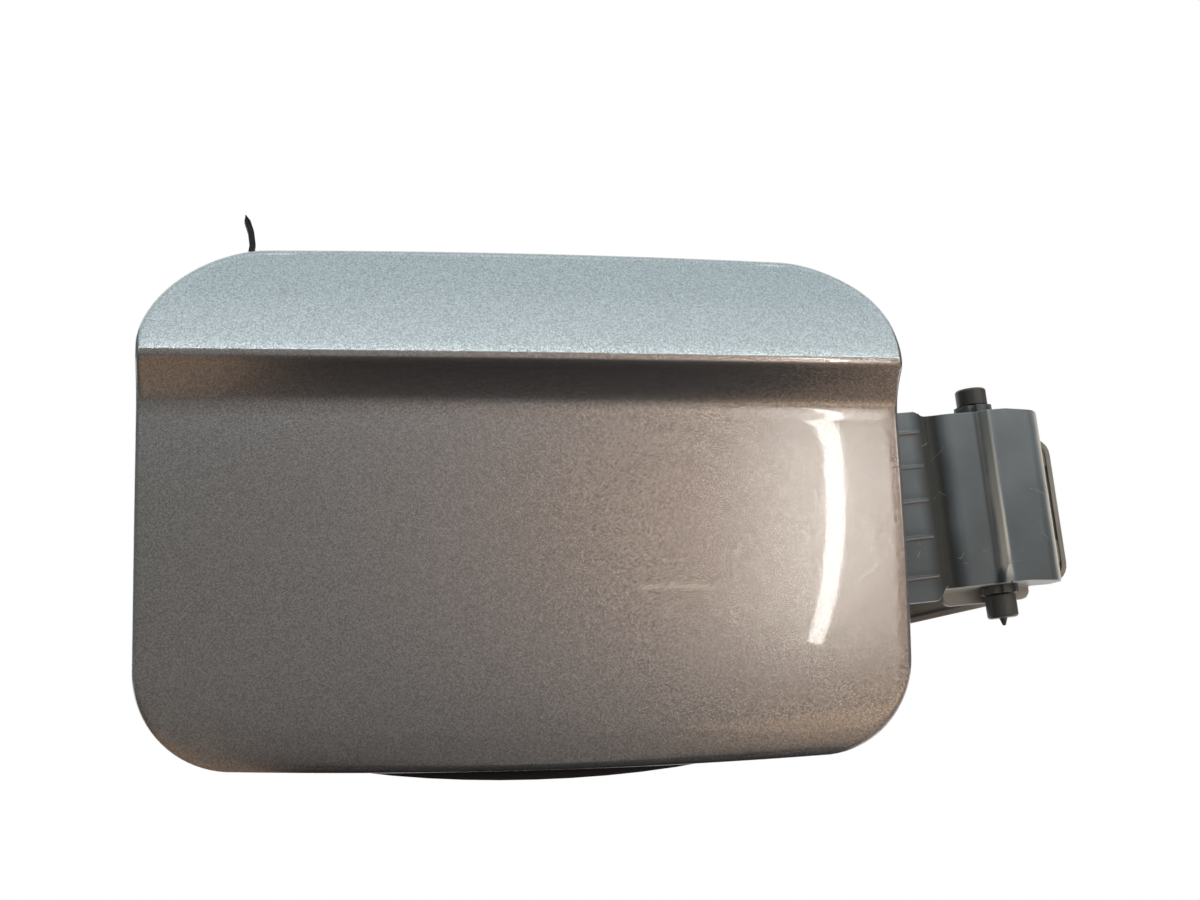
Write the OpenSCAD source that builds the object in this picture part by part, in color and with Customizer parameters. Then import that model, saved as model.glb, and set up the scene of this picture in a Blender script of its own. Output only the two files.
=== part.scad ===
// Car fuel door: a pressed and painted outer panel on a black inner panel,
// carried by a swan-neck hinge arm that swings on two short pins.
// X runs to the right along the closed door, -Y faces out of the car, +Z is up.
// The origin is on the rear face of the hinge base, straight behind the hinge axis.

/* [Outer panel] */
// Width of the panel
panel_w = 190; // [160:1:230]
// Height of the panel
panel_h = 127.3; // [115:0.1:150]
// Height of the panel's lower edge below the middle of the hinge
panel_drop = 66; // [58:0.5:76]
// Gap from the hinge axis to the panel's right edge
edge_gap = 30; // [27:0.5:36]
// Distance of the main face in front of the hinge axis
face_stand = 16; // [15.5:0.1:20]
// Width of the upper corner curves
corner_top_w = 31; // [20:0.5:40]
// Height of the upper corner curves
corner_top_h = 26.3; // [18:0.1:26.3]
// Fullness of the upper corner curves, where 2 is an ellipse
corner_top_full = 1.75; // [1.5:0.05:2.4]
// Width of the lower corner curves
corner_low_w = 23.5; // [15:0.5:35]
// Height of the lower corner curves
corner_low_h = 23.5; // [15:0.5:30]
// Distance of the crease below the top edge
crease_drop = 28.1; // [27.3:0.1:30.5]
// How far the crease stands out from the main face
crease_proud = 6; // [3:0.25:8]
// Height of the hollow face under the crease
undercut_h = 11.5; // [8:0.5:16]
// How far the top edge leans back from the crease
lean_back = 10; // [7:0.5:11]
// Crown of the face across its width
crown_across = 1.2; // [0.5:0.1:3]
// Crown of the main face from top to bottom
crown_down = 1.2; // [0:0.1:2.5]
// Outward bow of the lower edge
bow_low = 1.6; // [0:0.1:2.5]
// Outward flare of the right edge above its lower corner
flare_right = 1; // [0:0.1:2]
// Extra reach of the upper right corner
corner_flare = 2.3; // [0:0.1:3]
// Outward bow of the top edge
bow_top = 0.5; // [0:0.1:1]
// Thickness of the sheet
skin = 0.9; // [0.7:0.05:1.1]
// Radius of the folded edge
edge_round = 1.5; // [1.2:0.1:2]
// Depth of the edge from the main face to the hem
rim_depth = 4.6; // [4.2:0.1:5.5]
// Width of the hem folded in behind the edge
hem_w = 5.5; // [4:0.5:7]

/* [Inner panel] */
// Thickness of the inner panel
inner_t = 1.6; // [1.2:0.1:2]
// Distance of the inner panel's edge inside the outer panel's edge
inner_inset = 2.6; // [2:0.1:4]
// Depth of the lower lip under the panel's lower edge
lip_drop = 2.2; // [1:0.1:3]
// Width of the lower lip
lip_w = 104; // [40:1:110]
// Radius of the raised ring round the filler neck
ring_r = 31; // [24:0.5:34]
// Height of the ribs behind the inner panel
rib_h = 3; // [2:0.1:4]
// Thickness of the ribs
rib_t = 1.4; // [1:0.1:2]
// Height of the rubber buffers
buffer_h = 9; // [6:0.5:12]
// Radius of the rubber buffers
buffer_r = 5; // [4:0.25:6.5]

/* [Hinge arm] */
// Height of the arm along the hinge axis
arm_h = 46; // [41:0.5:48]
// Height of the tongue above the middle of the hinge
tongue_up = 23.8; // [21:0.1:25]
// Height of the tongue below the middle of the hinge
tongue_down = 26; // [22:0.1:28]
// Length of the tongue behind the panel
tongue_l = 44; // [38:1:55]
// Wall of the arm
arm_wall = 2.2; // [1.8:0.1:2.4]
// Thickness of the arm's end cheeks
cheek_t = 3; // [2.5:0.1:3.5]
// Step from the arm's hollow up to its plateau
plateau_step = 1.6; // [1:0.1:2]
// Reach of the arm past the hinge axis
arm_reach = 15.6; // [14.5:0.1:17]
// Height of the bead along the plateau's edge
bead_h = 0.45; // [0.2:0.05:0.7]
// Depth of the trough beside the tongue
trough_h = 1.3; // [0.5:0.1:1.6]
// Depth of the lip below the arm's lower cheek
arm_lip = 3.9; // [2.5:0.1:5]
// Radius of the arm's far edge
arm_edge_r = 4.5; // [2.5:0.25:5]
// Thickness of the ribs on the tongue
tongue_rib_t = 1.1; // [0.8:0.1:1.4]

/* [Hinge] */
// Tilt of the hinge axis to the left
hinge_tilt = 4.8; // [0:0.1:8]
// Height of the rubber stop on the base
stop_h = 2.7; // [2.4:0.1:6]
// Radius of the pins
pin_r = 2.25; // [2:0.05:2.4]
// Running clearance round the pins
pin_gap = 0.05; // [0.02:0.01:0.08]
// Radius of the pin heads
head_r = 4.1; // [3.6:0.05:4.3]
// Height of the upper pin's head
head_h = 4.6; // [3.5:0.1:6.5]
// Height of the lower pin's head
low_head_h = 6.1; // [3.5:0.1:7]
// Radius of the fluted bush collars
collar_r = 5.1; // [4.6:0.05:5.4]
// Height of the fluted bush collars
collar_h = 2.2; // [1.5:0.1:2.6]
// Thickness of the base plate
base_t = 2.4; // [2:0.1:2.6]
// Thickness of the base's ears
ear_t = 4; // [3:0.1:5]
// Radius of the fixing holes
fixing_r = 2.6; // [2.2:0.05:3]
// Clearance between parts that move past each other
run_gap = 0.5; // [0.4:0.05:0.6]

/* [Latch and fittings] */
// Radius of the striker's bar
striker_r = 2; // [1.6:0.1:2.5]
// Reach of the striker behind the inner panel
striker_reach = 15; // [11:0.5:20]
// Width of the striker
striker_w = 14; // [11:0.5:18]
// Width of the tether strap
strap_w = 3.4; // [2.8:0.1:4.5]
// Thickness of the tether strap
strap_t = 1.5; // [1.2:0.1:2]
// Radius of the cap holder's hook
hook_r = 13; // [10:0.5:15]

/* [Hidden] */
$fn = 48;

seat_gap = 0.1;            // between parts of the door that lie on each other
press_gap = 0.02;          // round rivets, studs and pressed pins
joint_gap = 0.3;           // between parts of different bodies at a stop

// Distance of the hinge axis in front of the base's rear face
axis_stand = arm_reach + joint_gap + stop_h + base_t;

// Heights and depths of the door, counted from the hinge axis
panel_x = -edge_gap - panel_w / 2;
panel_low = -panel_drop;
panel_top = panel_h - panel_drop;
crease_z = panel_top - crease_drop;
valley_z = crease_z - undercut_h;
half_w = panel_w / 2;
face_y = -axis_stand - face_stand;
rim_y = face_y + rim_depth;
top_rim_back = lean_back - crease_proud;
inner_front = rim_y + seat_gap;
inner_back = inner_front + inner_t;
crease_soft = 0.6;         // half the width of the crease's rounding
crown_top = 0.8;           // crown of the leaning face above the crease
flare_reach = 60;          // height over which the right edge flares out
corner_flare_share = 0.75; // share of the corner's height over which its extra reach grows

// Rows of the panel from top to bottom. Each holds its height, its half width
// and how much the two shrink for each millimetre of inset.
arc_steps = 9;
column_count = 22;
middle_rows = concat(
    [crease_z + crease_soft / 2, crease_z, crease_z - crease_soft / 2],
    [for (t = [0.1 : 0.15 : 1]) crease_z - undercut_h * t],
    [for (t = [0.04, 0.2, 0.4, 0.6, 0.8]) valley_z - t * (valley_z - panel_low - corner_low_h)]
);
rows = concat(
    [for (i = [arc_steps : -1 : 0])
        let (a = 90 * i / arc_steps, e = 2 / corner_top_full,
             across = pow(cos(a), e), up = pow(sin(a), e),
             face_x = pow(across, corner_top_full - 1) / corner_top_w,
             face_z = pow(up, corner_top_full - 1) / corner_top_h,
             size = norm([face_x, face_z])) [
        panel_top - corner_top_h * (1 - up),
        half_w - corner_top_w * (1 - across), face_z / size, face_x / size
    ]],
    [for (z = middle_rows) [z, half_w, 0, 1]],
    [for (i = [0 : arc_steps]) let (a = 90 * i / arc_steps) [
        panel_low + corner_low_h * (1 - sin(a)),
        half_w - corner_low_w * (1 - cos(a)), -sin(a), cos(a)
    ]]
);
row_count = len(rows);

function clamp01(t) = max(0, min(1, t));
function row_half(i, inset) = rows[i][1] - rows[i][3] * inset;
function row_z(i, u, inset) =
    rows[i][0] - rows[i][2] * inset
    + bow_top * (1 - u * u) * clamp01((rows[i][0] - crease_z) / crease_drop)
    - bow_low * (1 - u * u) * clamp01((panel_low + corner_low_h - rows[i][0]) / corner_low_h);

// Depth of the face at a height: leaning top, crisp crease, hollow, main face
function face_depth(z) =
    z > crease_z ? let (t = (z - crease_z) / crease_drop)
        -crease_proud + lean_back * t - crown_top * 4 * t * (1 - t)
    : z > valley_z ? let (t = (crease_z - z) / undercut_h)
        -crease_proud * pow(1 - t, 1.8)
    : let (t = (valley_z - z) / (valley_z - panel_low))
        -crown_down * 4 * t * (1 - t);
function crease_flat(z) = 0.25 * max(0, 1 - abs(z - crease_z) / crease_soft);
function front_y(u, z) = face_y + face_depth(z) + crease_flat(z) - crown_across * (1 - u * u);
function back_y(z) = rim_y + top_rim_back * clamp01((z - crease_z) / crease_drop);

// One point of the panel: row i, place u across it from -1 to 1
function row_x(i, u, inset) = panel_x + u * row_half(i, inset)
    + flare_right * (1 + u) / 2 * sin(90 * clamp01((rows[i][0] - panel_low) / flare_reach))
    + corner_flare * (1 + u) / 2 * pow(sin(90 * clamp01(
        (rows[i][0] - panel_top + corner_top_h) / (corner_flare_share * corner_top_h)
    )), 2);
function panel_point(i, u, inset, back) =
    [row_x(i, u, inset), front_y(u, row_z(i, u, 0)) + back, row_z(i, u, inset)];
function rim_point(i, u, inset, back) =
    [row_x(i, u, inset), back_y(row_z(i, u, inset)) + back, row_z(i, u, inset)];

function column_u(j) = 2 * j / column_count - 1;
// Row and column of each point round the panel's edge
edge_ids = concat(
    [for (i = [row_count - 1 : -1 : 0]) [i, column_count]],
    [for (j = [column_count - 1 : -1 : 0]) [0, j]],
    [for (i = [1 : row_count - 1]) [i, 0]],
    [for (j = [1 : column_count - 1]) [row_count - 1, j]]
);
edge_count = len(edge_ids);
function edge_outline(inset) = [for (e = edge_ids)
    let (u = column_u(e[1])) [row_x(e[0], u, inset), row_z(e[0], u, inset)]];

// Extrusions along Y from a front depth to a back depth, and along X
module through_y(front, back)
    translate([0, back, 0]) rotate([90, 0, 0]) linear_extrude(back - front) children();
module along_x(from, to)
    translate([from, 0, 0]) rotate([90, 0, 90]) linear_extrude(to - from) children();
module rod_y(x, z, front, back, r)
    translate([x, back, z]) rotate([90, 0, 0]) cylinder(h = back - front, r = r);

// Moves a child drawn round the upright hinge axis to its place in the door
module on_hinge() translate([0, -axis_stand, 0]) rotate([0, -hinge_tilt, 0]) children();

// Pressed outer panel: face, rolled edge, side wall and hem in one closed shell
module outer_panel() {
    round_steps = 3;
    grid = (column_count + 1) * row_count;
    outer_rings = [for (k = [1 : round_steps]) let (a = 90 * k / round_steps)
        [for (e = edge_ids) panel_point(e[0], column_u(e[1]),
            edge_round * (1 - sin(a)), edge_round * (1 - cos(a)))]];
    hem_rings = [for (s = [[0, 0], [hem_w, 0], [hem_w, -skin], [skin, -skin]])
        [for (e = edge_ids) rim_point(e[0], column_u(e[1]), s[0], s[1])]];
    wall_ring = [for (e = edge_ids) panel_point(e[0], column_u(e[1]), skin, edge_round)];
    rings = concat(outer_rings, hem_rings, [wall_ring]);
    ring_total = len(rings);
    faces_of = function (base, flip) [for (i = [0 : row_count - 2], j = [0 : column_count - 1])
        let (a = base + i * (column_count + 1) + j, b = a + 1,
             c = b + column_count + 1, d = a + column_count + 1)
        each (flip ? [[a, b, c], [a, c, d]] : [[a, c, b], [a, d, c]])];
    // Index of point m of ring r, where the first and last rings are the grids' edges
    ring_id = function (r, m) let (e = edge_ids[m % edge_count])
        r == 0 ? e[0] * (column_count + 1) + e[1]
        : r > ring_total ? grid + edge_count * ring_total + e[0] * (column_count + 1) + e[1]
        : grid + (r - 1) * edge_count + m % edge_count;
    points = concat(
        [for (i = [0 : row_count - 1], j = [0 : column_count])
            panel_point(i, column_u(j), edge_round, 0)],
        [for (ring = rings) each ring],
        [for (i = [0 : row_count - 1], j = [0 : column_count])
            panel_point(i, column_u(j), edge_round, skin)]
    );
    faces = concat(
        faces_of(0, false),
        [for (r = [0 : ring_total], m = [0 : edge_count - 1])
            let (a = ring_id(r, m), b = ring_id(r, m + 1),
                 c = ring_id(r + 1, m + 1), d = ring_id(r + 1, m))
            each [[a, c, b], [a, d, c]]],
        faces_of(grid + edge_count * ring_total, true)
    );
    color([0.52, 0.53, 0.55]) polyhedron(points, faces, convexity = 6);
}

// Section of the inner panel: flat behind the main face, leaning back above the crease
function inner_section(front, back) = [
    [inner_front + front, panel_low - lip_drop - bow_low],
    [inner_front + front, crease_z],
    [inner_front + front + top_rim_back, panel_top],
    [inner_front + back + top_rim_back, panel_top],
    [inner_front + back, crease_z],
    [inner_front + back, panel_low - lip_drop - bow_low]
];

tongue_left = -edge_gap - tongue_l;
screw_in = 10.5;
screw_p = [-edge_gap - screw_in, tongue_left + 9];
screw_s = 12;
screw_r = 1.9;
boss_r = 4;
boss_h = 2.4;
pilot_gap = 0.05;
tongue_t = 2.4;
// Depths counted from the hinge axis
tongue_front = inner_back + seat_gap + axis_stand;
boss_front = inner_front + axis_stand - boss_h;
screw_tip = boss_front + 1.3;
ring_x = panel_x - 4;
ring_z = 2;
striker_in = 15;
striker_x = panel_x - half_w + striker_in;
striker_z = -4;
foot_w = 11;
foot_end = 7;
buffer_in = 21;
buffer_up = 22;
buffer_top = 6;
buffer_right = tongue_left - buffer_r - 5;
buffer_spots = [for (x = [panel_x - half_w + buffer_in, buffer_right], z = [crease_z - buffer_top, panel_low + buffer_up])
    [x, z]];
holder_x = ring_x;
holder_up = 30;
holder_z = panel_low + holder_up;
holder_wall = 2;
holder_rivet_down = hook_r + 1.8;
holder_head = 2.6;
holder_rivet_x = sqrt(pow(hook_r + holder_wall + holder_head + joint_gap, 2) - pow(holder_rivet_down, 2));
stud_in = 25.5;
stud_down = 17;
stud_x = panel_x - half_w + stud_in;
stud_z = panel_top - stud_down;
eye_r = 4.4;
stud_r = 2;
stud_front = inner_front + top_rim_back * (stud_z - stud_r - 1 - crease_z) / crease_drop - 0.3;
stud_seat = inner_front + top_rim_back * (stud_z - crease_z) / crease_drop + inner_t / 2;
rivet_r = 1.6;
bush_r = pin_r + 1;
ear_r = pin_r + 2;
ear_out = arm_h / 2 - cheek_t - run_gap;
spring_rivet_x = [-15.5, -11];
spring_rivet_r = 1.2;
stop_x = 1.5;
stop_r = 3.2;

module arm_screw_spots()
    for (p = screw_p, s = [-screw_s, screw_s])
        translate([p, 0, s]) children();

// Inner panel: kinked black moulding with ribs, bosses and a lip at its lower edge
module inner_panel() {
    color([0.05, 0.05, 0.055]) difference() {
        union() {
            intersection() {
                along_x(panel_x - half_w, panel_x + half_w)
                    polygon(inner_section(0, inner_t));
                through_y(face_y - 20, 0) polygon(edge_outline(inner_inset));
            }
            // lip under the lower edge
            intersection() {
                along_x(panel_x - lip_w / 2, panel_x + lip_w / 2)
                    polygon(inner_section(0, inner_t));
                through_y(face_y - 20, 0) translate([panel_x, 0])
                    polygon(lip_outline());
            }
            // rim behind the edge
            intersection() {
                along_x(panel_x - half_w, panel_x + half_w)
                    polygon(inner_section(inner_t / 2, inner_t + rib_h));
                through_y(face_y - 20, 0) difference() {
                    polygon(edge_outline(inner_inset + 1.5));
                    polygon(edge_outline(inner_inset + 1.5 + rib_t));
                    translate([tongue_left - 1.5, -tongue_down - 5])
                        square([tongue_l + 10, tongue_down + tongue_up + 8]);
                }
            }
            // ring round the filler neck with two struts
            translate([ring_x, inner_back - inner_t / 2, ring_z]) rotate([-90, 0, 0])
                linear_extrude(rib_h + inner_t / 2) difference() {
                    circle(ring_r);
                    circle(ring_r - rib_t);
                }
            for (s = [-1, 1])
                translate([striker_x + 8, inner_back - inner_t / 2, ring_z + s * 12 - rib_t / 2])
                    cube([
                        ring_x - sqrt(ring_r * ring_r - 144) + rib_t / 2 - striker_x - 8,
                        rib_h + inner_t / 2, rib_t
                    ]);
            // screw bosses for the arm
            on_hinge() arm_screw_spots()
                rod_y(0, 0, boss_front, tongue_front - seat_gap, boss_r);
            // seats of the striker and of the tether stud
            translate([
                striker_x - foot_w / 2 - seat_rim, inner_back - inner_t / 2,
                striker_z - striker_w / 2 - foot_end - seat_rim
            ])
                cube([
                    foot_w + 2 * seat_rim, inner_t / 2 + seat_h,
                    striker_w + 2 * (foot_end + seat_rim)
                ]);
            rod_y(stud_x, stud_z, stud_seat, strap_front - seat_gap, eye_r + 0.2);
        }
        on_hinge() arm_screw_spots()
            rod_y(0, 0, boss_front + 1, tongue_front + 1, screw_r + pilot_gap);
        for (s = [-1, 1])
            rod_y(striker_x, striker_z + s * (striker_w + foot_end) / 2, face_y, 0, rivet_r + press_gap);
        for (s = [-1, 1])
            rod_y(holder_x + s * holder_rivet_x, holder_z - holder_rivet_down,
                face_y, 0, rivet_r + press_gap);
        for (b = buffer_spots)
            rod_y(b[0], b[1], face_y, 0, buffer_r * 0.5 + press_gap);
        rod_y(stud_x, stud_z, face_y, 0, stud_r + press_gap);
        // notch in the rim where the tether passes
        translate([stud_x - 4, strap_front - seat_gap, stud_z + 2]) cube([8, 20, 30]);
    }
}
function lip_outline() = concat(
    [[lip_w / 2, panel_low + 8], [-lip_w / 2, panel_low + 8]],
    [for (i = [0 : 12]) let (u = i / 6 - 1)
        [u * lip_w / 2, panel_low - bow_low * (1 - u * u * 0.25) + inner_inset
            - (inner_inset + lip_drop) * pow(1 - u * u, 0.8)]]
);

// Bonding pads between the two panels
pad_r = 7;
pad_apart = 2;             // least gap from a pad to the buffers, rivets and bosses beside it
pad_side = hook_r + holder_wall + pad_r + pad_apart + 1;
pad_spots = [
    [-half_w + buffer_in + buffer_r + pad_r + pad_apart, panel_low + buffer_up + 3],
    [ring_x - panel_x - pad_side, panel_low + buffer_up],
    [ring_x - panel_x + pad_side, panel_low + buffer_up],
    [half_w - buffer_in - pad_apart - 12, panel_low + buffer_up + 5],
    [-half_w + striker_in + foot_w / 2 + pad_r + pad_apart + 1, 6],
    [half_w - tongue_l - pad_r - boss_r - pad_apart, 4],
    [-half_w / 10, 8]
];
function pad_front(p) =
    let (u = (abs(p[0]) + pad_r) / half_w)
    front_y(u, valley_z) - face_depth(valley_z) + skin + seat_gap
    + max(face_depth(p[1] - pad_r), face_depth(p[1] + pad_r));
module bonding_pads()
    color([0.75, 0.73, 0.66]) for (p = pad_spots)
        rod_y(panel_x + p[0], p[1], pad_front(p), inner_front - seat_gap, pad_r);

// Section of the arm square to the hinge axis: X right, Y to the back
hollow_y = -(ear_r + run_gap + arm_wall);
plateau_y = hollow_y - plateau_step;
step_x = -0.6;
wall_x = -20.3;             // where the tongue bends back into the hollow
wall_run = 4.5;             // width of that bend
hollow_flat = -9.5;         // where the trough beside the bend has come up to the hollow
end_back = 2;               // rear edge of the arm's far wall
function s_bend(t) = (1 - cos(180 * t)) / 2;
function arm_line(off) = concat(
    [for (t = [0 : 0.125 : 1]) [
        wall_x - off * 0.3 + wall_run * t,
        tongue_front + off + (hollow_y + trough_h - tongue_front) * s_bend(t)
    ]],
    [for (t = [0.2 : 0.2 : 1]) [
        wall_x + wall_run + (hollow_flat - wall_x - wall_run) * t,
        hollow_y + off + trough_h * (1 - s_bend(t))
    ]],
    [[step_x - 1.1, hollow_y + off], [step_x + 0.6, plateau_y - bead_h + off],
     [step_x + 1.1, plateau_y - bead_h + off], [step_x + 2.6, plateau_y + off]],
    [for (a = [0 : 15 : 90]) [
        arm_reach - arm_edge_r + (arm_edge_r - off) * sin(a),
        plateau_y + arm_edge_r - (arm_edge_r - off) * cos(a)
    ]]
);
function reversed(list) = [for (i = [len(list) - 1 : -1 : 0]) list[i]];
arm_section = concat(
    arm_line(0), [[arm_reach, end_back], [arm_reach - arm_wall, end_back]],
    reversed(arm_line(arm_wall))
);
cheek_back = 8;             // rear edge of the cheeks behind the axis
cheek_left = -13.6;
cheek_section = concat(
    arm_line(0),
    [[arm_reach, end_back], [arm_reach - 5, cheek_back], [cheek_left, cheek_back],
     [wall_x, tongue_front + tongue_t]]
);
end_round = 6;
end_up = tongue_up - 6;
end_down = -tongue_down + 10;
tongue_outline = concat(
    [for (t = [0 : 0.2 : 1]) [wall_x + 2.2 - 2.7 * t, arm_h / 2 - 0.6 + (tongue_up - arm_h / 2 + 0.6) * s_bend(t)]],
    [[-edge_gap - 12, tongue_up]],
    [for (a = [0 : 15 : 90]) [tongue_left + end_round * (1 - sin(a)), end_up - end_round * (1 - cos(a))]],
    [for (a = [90 : -15 : 0]) [tongue_left + end_round * (1 - sin(a)), end_down + end_round * (1 - cos(a))]],
    [[-edge_gap - 12, -tongue_down]],
    [for (t = [0 : 0.2 : 1])
        [wall_x - 0.8 + 3.4 * t, -tongue_down + (tongue_down - arm_h / 2 + 0.5) * s_bend(t)]]
);
tongue_rib_s = [-19.5, -9.2, 0.4, 9.4, 18.4];
tongue_rib_end = wall_x + 0.2;
lip_front = collar_r + 1;   // front of the lip behind the lower bush
lip_round = 2.4;
cam_r = ear_r + 1.2;
cam_h = 10;
mitre_up = 5;
mitre_out = 2.1;
drop_from = collar_r + 0.5; // where both ends of the arm begin to drop
end_drop = 1;
end_corner = 2.4;
module hinge_arm() {
    color([0.16, 0.19, 0.21]) on_hinge() difference() {
        union() {
            translate([0, 0, -arm_h / 2]) linear_extrude(arm_h) polygon(arm_section);
            for (s = [-arm_h / 2, arm_h / 2 - cheek_t])
                translate([0, 0, s]) linear_extrude(cheek_t) polygon(cheek_section);
            through_y(tongue_front, tongue_front + tongue_t) polygon(tongue_outline);
            // ribs beside the panel's edge
            for (s = tongue_rib_s)
                let (from = -edge_gap - inner_inset + flare_right + run_gap + s * sin(hinge_tilt))
                    through_y(tongue_front - 1, tongue_front + 0.2) polygon([
                        [from, s + tongue_rib_t / 2], [tongue_rib_end, s + tongue_rib_t / 4],
                        [tongue_rib_end, s - tongue_rib_t / 4], [from, s - tongue_rib_t / 2]
                    ]);
            // lip under the lower cheek
            through_y(lip_front, cheek_back) polygon(concat(
                [[arm_reach - 4.4, -arm_h / 2 + 1]],
                [for (a = [90 : 15 : 180])
                    [arm_reach - 4.4 - lip_round, -arm_h / 2 - arm_lip + lip_round] + lip_round * [sin(a), cos(a)]],
                [for (a = [180 : 15 : 270])
                    [cheek_left + lip_round, -arm_h / 2 - arm_lip + lip_round] + lip_round * [sin(a), cos(a)]],
                [[cheek_left, -arm_h / 2 + 1]]
            ));
            // lower end of the bead, which turns away from the axis
            hull() for (m = [[mitre_up, 0], [0, mitre_out]])
                translate([0, 0, m[0] - arm_h / 2]) linear_extrude(0.1) polygon([
                    [step_x - 1.2 - m[1], hollow_y + 0.5], [step_x + 0.5 - m[1], plateau_y - bead_h - 0.05],
                    [step_x + 1.1 - m[1] / 2, plateau_y - bead_h - 0.05], [step_x + 2.4, plateau_y + 0.3],
                    [step_x + 2.4, hollow_y + 0.5]
                ]);
            // lower cheek, which drops towards the far end
            intersection() {
                translate([0, 0, -arm_h / 2 - end_drop]) linear_extrude(end_drop + 0.2) polygon(cheek_section);
                through_y(plateau_y - 1, cheek_back + 1) polygon([
                    [drop_from, -arm_h / 2 + 0.1], [drop_from, -arm_h / 2],
                    [arm_reach + 1, -arm_h / 2 - end_drop], [arm_reach + 1, -arm_h / 2 + 0.1]
                ]);
            }
            // ribs behind the tongue
            for (s = [-7, 7])
                translate([tongue_left + 3, tongue_front + tongue_t - 0.2, s - rib_t / 2])
                    cube([wall_x - tongue_left - 3, 2.2, rib_t]);
            // ribs and detent cam inside the arm
            for (s = [-9.5, 9.5])
                translate([step_x + 2, plateau_y + arm_wall - 0.2, s - rib_t / 2])
                    cube([arm_reach - step_x - 1.8 - arm_wall, -plateau_y - arm_wall - 0.8, rib_t]);
            translate([0, 0, -cam_h / 2]) linear_extrude(cam_h) intersection() {
                union() {
                    circle(cam_r);
                    translate([-4, hollow_y + arm_wall / 2]) square([8, 6]);
                }
                translate([-cam_r + 0.3, -20]) square([30, 20 + cam_r - 0.3]);
            }
        }
        for (s = [-1, 1])
            translate([0, 0, s * (arm_h / 2 - cheek_t / 2) - cheek_t])
                cylinder(h = 2 * cheek_t, r = bush_r + press_gap);
        // upper cheek, which drops to a round far corner
        through_y(plateau_y - 1, cheek_back + 1) polygon(concat(
            [[drop_from, arm_h / 2 + 1], [drop_from, arm_h / 2]],
            [for (a = [15 : 15 : 75])
                [arm_reach - end_corner, arm_h / 2 - end_drop - end_corner] + end_corner * [sin(a), cos(a)]],
            [[arm_reach, arm_h / 2 - end_drop - end_corner], [arm_reach + 1, arm_h / 2 - end_drop - end_corner],
             [arm_reach + 1, arm_h / 2 + 1]]
        ));
        arm_screw_spots()
            rod_y(0, 0, tongue_front - 1, tongue_front + tongue_t + 1, screw_r + 0.3);
    }
}

// Pan-head screws that hold the arm to the inner panel
module arm_screws()
    color([0.55, 0.56, 0.58]) on_hinge() arm_screw_spots() difference() {
        union() {
            rod_y(0, 0, screw_tip, tongue_front + tongue_t + seat_gap, screw_r);
            translate([0, tongue_front + tongue_t + seat_gap, 0]) rotate([-90, 0, 0])
                rotate_extrude() polygon([[0, 0], [3.6, 0], [3.6, 1], [3, 1.8], [2, 2.2], [0, 2.2]]);
        }
        translate([0, tongue_front + tongue_t + 1.2, 0]) rotate([-90, 0, 0])
            cylinder(h = 3, r = 1.4, $fn = 6);
    }

// Rivet along Y with a set head at each end of its grip
module rivet(x, z, front, back, r, head)
    translate([x, 0, z]) rotate([-90, 0, 0]) rotate_extrude() polygon([
        [0, front - 1], [head * 0.6, front - 1], [head, front - 0.4], [head, front], [r, front],
        [r, back], [head, back], [head, back + 0.4], [head * 0.6, back + 1], [0, back + 1]
    ]);

// Striker: a bent bar on a riveted foot, which the latch catches
foot_t = 1.5;
seat_h = 1;
seat_rim = 1.5;
foot_y = inner_back + seat_h + seat_gap;
module latch_striker() {
    bend = 4;
    tip_y = foot_y + striker_reach;
    color([0.62, 0.62, 0.6]) difference() {
        union() {
            translate([striker_x - foot_w / 2, foot_y, striker_z - striker_w / 2 - foot_end])
                cube([foot_w, foot_t, striker_w + 2 * foot_end]);
            for (s = [-1, 1]) {
                rod_y(striker_x, striker_z + s * (striker_w / 2 - striker_r), foot_y, tip_y - bend, striker_r);
                translate([striker_x, tip_y - bend, striker_z + s * (striker_w / 2 - striker_r - bend)])
                    rotate([0, -90, 0]) rotate([0, 0, s > 0 ? 0 : 90]) rotate_extrude(angle = 90)
                        translate([bend, 0]) circle(striker_r);
            }
            translate([striker_x, tip_y, striker_z - striker_w / 2 + striker_r + bend])
                cylinder(h = striker_w - 2 * striker_r - 2 * bend, r = striker_r);
        }
        for (s = [-1, 1])
            rod_y(striker_x, striker_z + s * (striker_w + foot_end) / 2, face_y, 0, rivet_r + press_gap);
    }
}
module striker_rivets()
    color([0.6, 0.6, 0.62]) for (s = [-1, 1])
        rivet(striker_x, striker_z + s * (striker_w + foot_end) / 2, inner_front - seat_gap,
            foot_y + foot_t + seat_gap, rivet_r, 2.8);

// Rubber buffers pushed through the inner panel, which stop the door against the body
module rubber_buffers()
    color([0.07, 0.07, 0.07]) for (b = buffer_spots)
        translate([b[0], 0, b[1]]) rotate([-90, 0, 0]) rotate_extrude() polygon([
            [0, inner_front - seat_gap - 1.4], [buffer_r * 0.6, inner_front - seat_gap - 1.4],
            [buffer_r * 0.8, inner_front - seat_gap - 0.6], [buffer_r * 0.8, inner_front - seat_gap],
            [buffer_r * 0.5, inner_front - seat_gap], [buffer_r * 0.5, inner_back + seat_gap],
            [buffer_r, inner_back + seat_gap], [buffer_r, inner_back + 2],
            [buffer_r * 0.8, inner_back + buffer_h - 1.5], [buffer_r * 0.6, inner_back + buffer_h - 0.4],
            [buffer_r * 0.3, inner_back + buffer_h], [0, inner_back + buffer_h]
        ]);

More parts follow.
